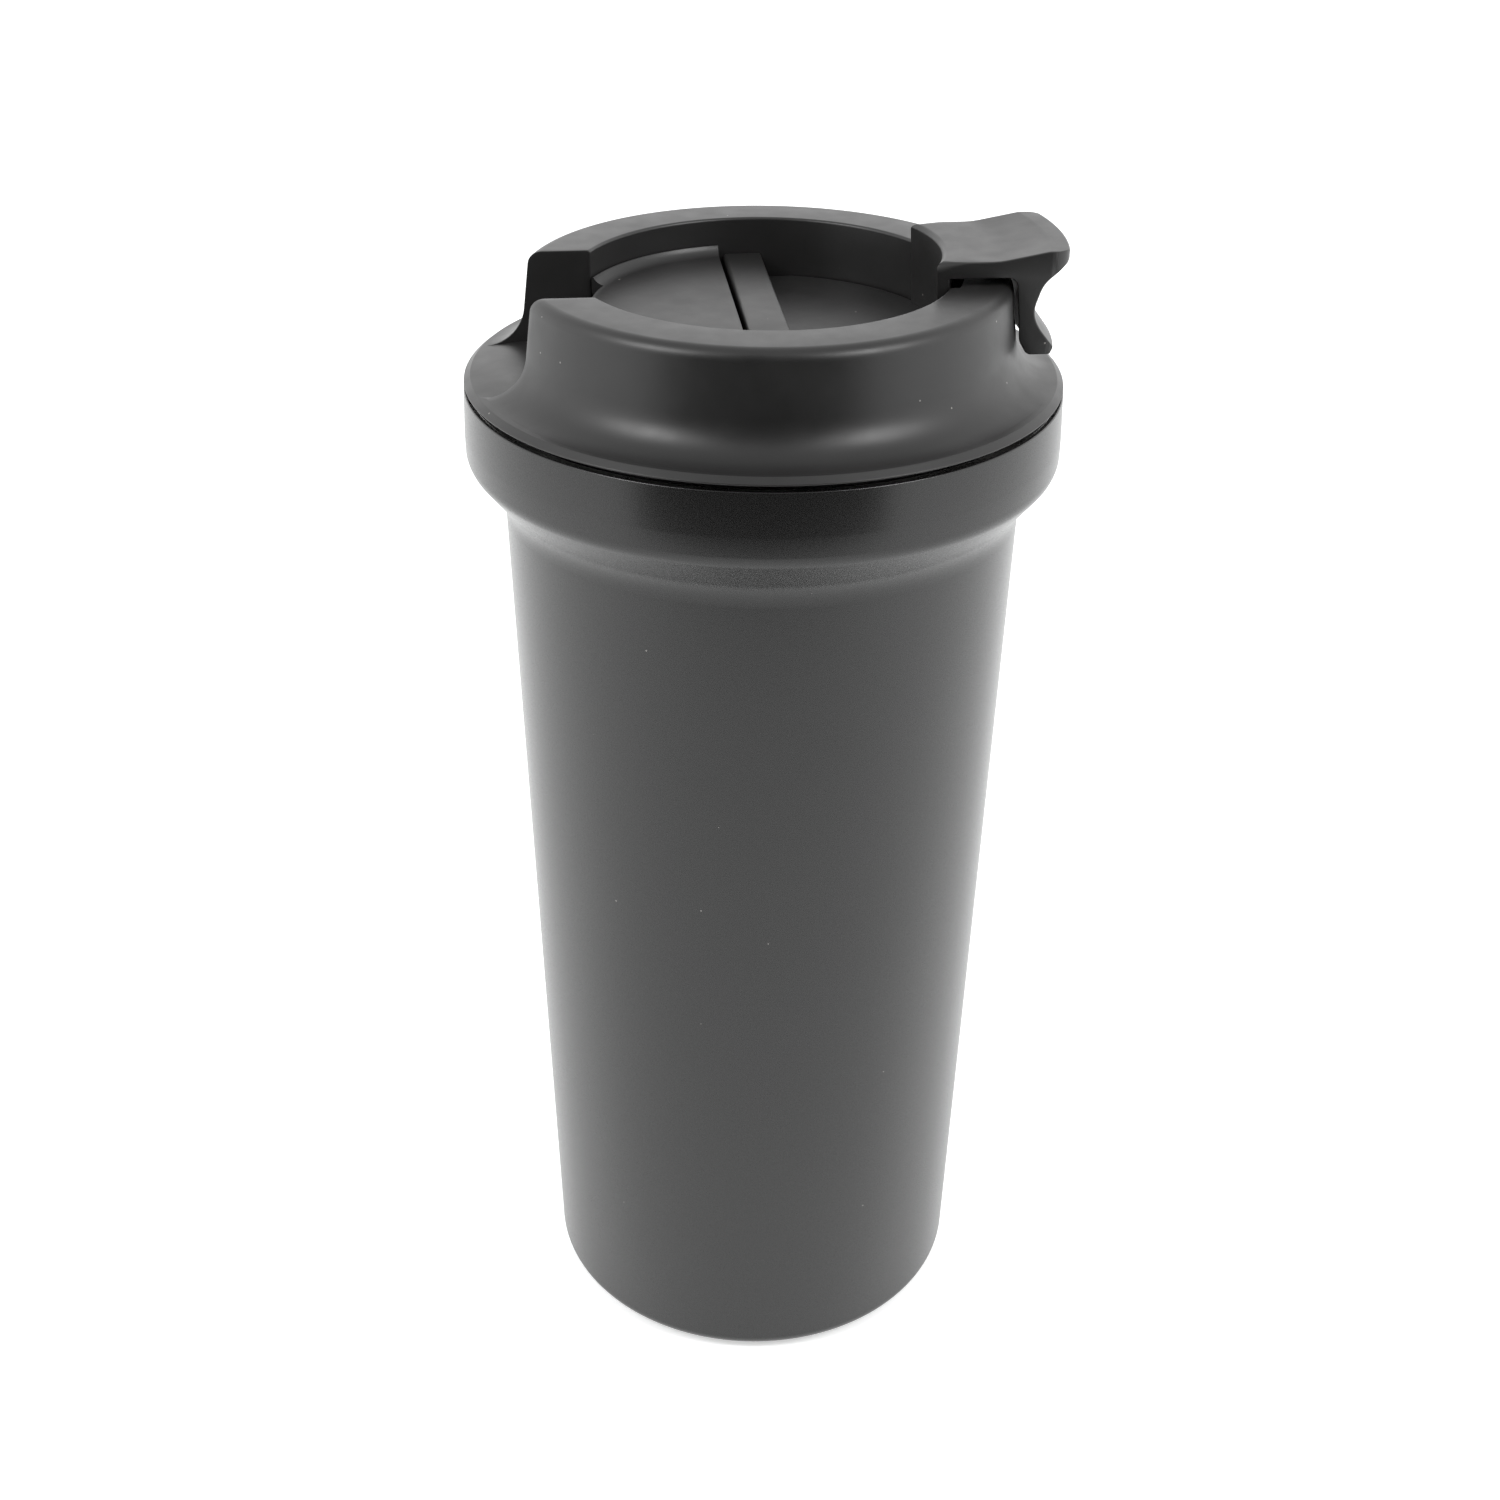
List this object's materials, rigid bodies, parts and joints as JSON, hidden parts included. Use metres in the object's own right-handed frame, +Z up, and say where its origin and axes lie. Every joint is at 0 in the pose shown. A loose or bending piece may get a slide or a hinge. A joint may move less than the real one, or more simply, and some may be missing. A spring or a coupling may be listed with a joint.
{
  "type": "insulated travel mug",
  "caption": "Double-walled insulated travel mug with a tapered body, a wide collar and a screw-on lid whose flip lever opens the drink hole.",
  "frame": {"origin": "centre of the base on the resting surface", "axes": "+Z up along the mug's axis, +X towards the closed lever's leg, -X towards the lid's notch"},
  "size_m": [0.0892, 0.0892, 0.1859],
  "materials": {
    "powder_coat": "fine satin powder coat",
    "bare_steel": "brushed",
    "foil": "thin bright foil",
    "sealing_glass": "fused bead",
    "getter_metal": "sintered",
    "adhesive": "film",
    "dark_silicone": "matt",
    "lid_plastic": "fine matt texture",
    "core_plastic": "satin",
    "foam": "bead foam",
    "screw_steel": "zinc plated",
    "clear_grey_silicone": "satin",
    "pin_steel": "ground"
  },
  "bodies": {
    "vessel": {"outer_shell": "powder_coat", "inner_liner": "bare_steel", "reflective_foil": "foil", "bottom_cap": "bare_steel", "vacuum_seal_bead": "sealing_glass", "getter_cup": "bare_steel", "getter": "getter_metal", "pad_adhesive": "adhesive", "base_pad": "dark_silicone"},
    "lid": {"lid_shell": "lid_plastic", "lid_core": "core_plastic", "lid_baffle": "core_plastic", "lid_insulation": "foam", "lid_screws": "screw_steel", "lid_gasket": "clear_grey_silicone", "hinge_cover": "lid_plastic", "hinge_pin": "pin_steel"},
    "flap": {"flap": "lid_plastic", "flap_seal": "clear_grey_silicone", "vent_seal": "clear_grey_silicone"}
  },
  "joints": [
    {"name": "lid_lift", "type": "slide", "parent": "vessel", "child": "lid", "axis": [0, 0, 1], "range_m": [0, 0.06]},
    {"name": "flap_hinge", "type": "hinge", "parent": "lid", "child": "flap", "pos_m": [-0.0005, 0, 0.174], "axis": [0, -1, 0], "range_deg": [0, 165]}
  ]
}
